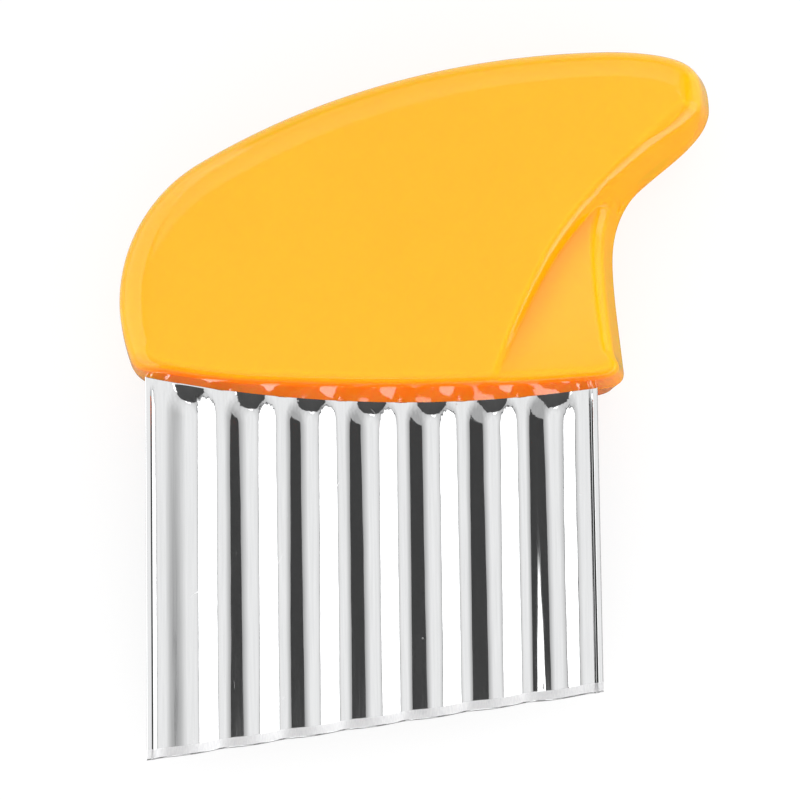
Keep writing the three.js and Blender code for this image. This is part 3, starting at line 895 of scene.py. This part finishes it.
def studio_dome():
    """Tent round the part: an even light, but in reflections bright overhead and dim at the horizon."""
    world = bpy.data.worlds.new("studio dome")
    world.use_nodes = True
    tree = world.node_tree
    height = split(tree, tree.nodes.new("ShaderNodeTexCoord").outputs["Generated"])["Z"]
    level = ramp_node(tree, height, DOME_LOW, DOME_HIGH, HORIZON, ZENITH)
    shading = tree.nodes["Background"]
    shading.inputs["Color"].default_value = (1, 1, 1, 1)
    shading.inputs["Strength"].default_value = EVEN
    mirrored = tree.nodes.new("ShaderNodeBackground")
    mirrored.inputs["Color"].default_value = (1, 1, 1, 1)
    path = tree.nodes.new("ShaderNodeLightPath")
    passed = ramp_node(tree, path.outputs["Glossy Depth"], 1, 2, 1, SECOND)
    tree.links.new(math_node(tree, "MULTIPLY", level, passed), mirrored.inputs["Strength"])
    seen = mixed_shader(tree, path.outputs["Is Glossy Ray"], shading.outputs[0], mirrored.outputs[0])
    tree.links.new(seen, tree.nodes["World Output"].inputs["Surface"])
    bpy.context.scene.world = world


def panel(name, middle, across, up):
    """Flat four-cornered panel, from its middle and two half sides."""
    middle, across, up = (np.array(v, float) for v in (middle, across, up))
    corners = [middle - across - up, middle + across - up, middle + across + up, middle - across + up]
    return piece(name, corners, [(0, 1, 2, 3)])


def studio_floor():
    """White paper that the camera sees nearly plain, and that reflections near the part see dimmer, with
    a painted shadow.
    """
    floor = panel("floor", (0, 0, 0), (FLOOR_SIZE / 2, 0, 0), (0, FLOOR_SIZE / 2, 0))
    material, tree, shader = new_finish("white paper floor")
    shader.inputs["Base Color"].default_value = (FLOOR_PAPER, FLOOR_PAPER, FLOOR_PAPER, 1)
    shader.inputs["Roughness"].default_value = FLOOR_ROUGH
    shader.inputs["Specular IOR Level"].default_value = 0
    # painted shadow: reflections see the floor dimmer near the part
    away = tree.nodes.new("ShaderNodeVectorMath")
    away.operation = "DISTANCE"
    tree.links.new(place_on_part(tree), away.inputs[0])
    away.inputs[1].default_value = (*FLOOR_MIDDLE, 0)
    near = ramp_node(tree, away.outputs["Value"], *FLOOR_NEAR, FLOOR_DIM, 0)
    path = tree.nodes.new("ShaderNodeLightPath")
    dimmed = math_node(tree, "MULTIPLY", path.outputs["Is Glossy Ray"], near)
    mirrored = mixed_shader(tree, dimmed, shader.outputs[0], glow(tree, 0))
    plain = math_node(tree, "MULTIPLY", path.outputs["Is Camera Ray"], FLOOR_WHITE)
    seen = mixed_shader(tree, plain, mirrored, glow(tree, FLOOR_GLOW))
    tree.links.new(seen, tree.nodes["Material Output"].inputs["Surface"])
    floor.data.materials.append(material)


def black_cards():
    """Cards that only reflections see: to the right, beyond the cutting edge and over the softbox."""
    material, _, shader = new_finish("black card")
    shader.inputs["Base Color"].default_value = (CARD_BLACK, CARD_BLACK, CARD_BLACK, 1)
    shader.inputs["Roughness"].default_value = CARD_ROUGH
    for name, middle, across, up in CARDS:
        card = panel(name, middle, across, up)
        card.data.materials.append(material)
        card.visible_camera = False
        card.visible_diffuse = False
        card.visible_shadow = False
        card.visible_transmission = False


def soft_lamp(name, middle, width, height, brightness):
    """Broad even lamp that faces the parting plane's middle."""
    lamp = bpy.data.lights.new(name, "AREA")
    lamp.shape = "RECTANGLE"
    lamp.size = width * MM
    lamp.size_y = height * MM
    lamp.energy = brightness * math.pi * width * height * MM**2
    made = bpy.data.objects.new(name, lamp)
    made.visible_camera = False
    bpy.context.scene.collection.objects.link(made)
    back = Vector(middle) - Vector((0, 0, HALF_THICK))
    turn = back.to_track_quat("Z", "Y").to_matrix().to_4x4()
    made.matrix_world = Matrix.Translation(Vector(middle) * MM) @ turn
    return made


def studio_lamps():
    for name, middle, (width, height), brightness, withheld in LAMPS:
        lamp = soft_lamp(name, middle, width, height, brightness)
        lamp.visible_diffuse = withheld != "diffuse"
        lamp.visible_glossy = withheld != "glossy"


def photo_camera():
    """Camera at the photograph's angle."""
    right = Vector((1, 0, 0))
    up = Vector((0, math.cos(TILT), math.sin(TILT)))
    back = Vector((0, -math.sin(TILT), math.cos(TILT)))
    across = right * math.cos(ROLL) + up * math.sin(ROLL)
    along = up * math.cos(ROLL) - right * math.sin(ROLL)
    aim = Vector((0, 0, HALF_THICK)) + across * AIM_RIGHT + along * AIM_UP
    camera = bpy.data.cameras.new("camera")
    camera.sensor_width = SENSOR
    camera.lens = SENSOR * DISTANCE / FIELD
    camera.clip_start = CLIP
    made = bpy.data.objects.new("camera", camera)
    bpy.context.scene.collection.objects.link(made)
    turn = Matrix((across, along, back)).transposed().to_4x4()
    made.matrix_world = Matrix.Translation((aim + back * DISTANCE) * MM) @ turn
    bpy.context.scene.camera = made


# The cutter

def add_cutter():
    yellow = moulded_yellow()
    shells = (("handle_front", "front_shell", 1, SLOT), ("handle_rear", "rear_shell", -1, HOLLOW_SLOT))
    for name, node, side, slot in shells:
        shell = closed_shell(name, shell_points(slot), side)
        shell.data.materials.append(yellow)
        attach(shell, "root")
        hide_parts(node)
    blade = fluted_blade()
    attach(blade, "root")
    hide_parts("blade")


photo_camera()
add_cutter()
studio_dome()
studio_floor()
black_cards()
studio_lamps()
bpy.context.scene.view_settings.view_transform = "Standard"
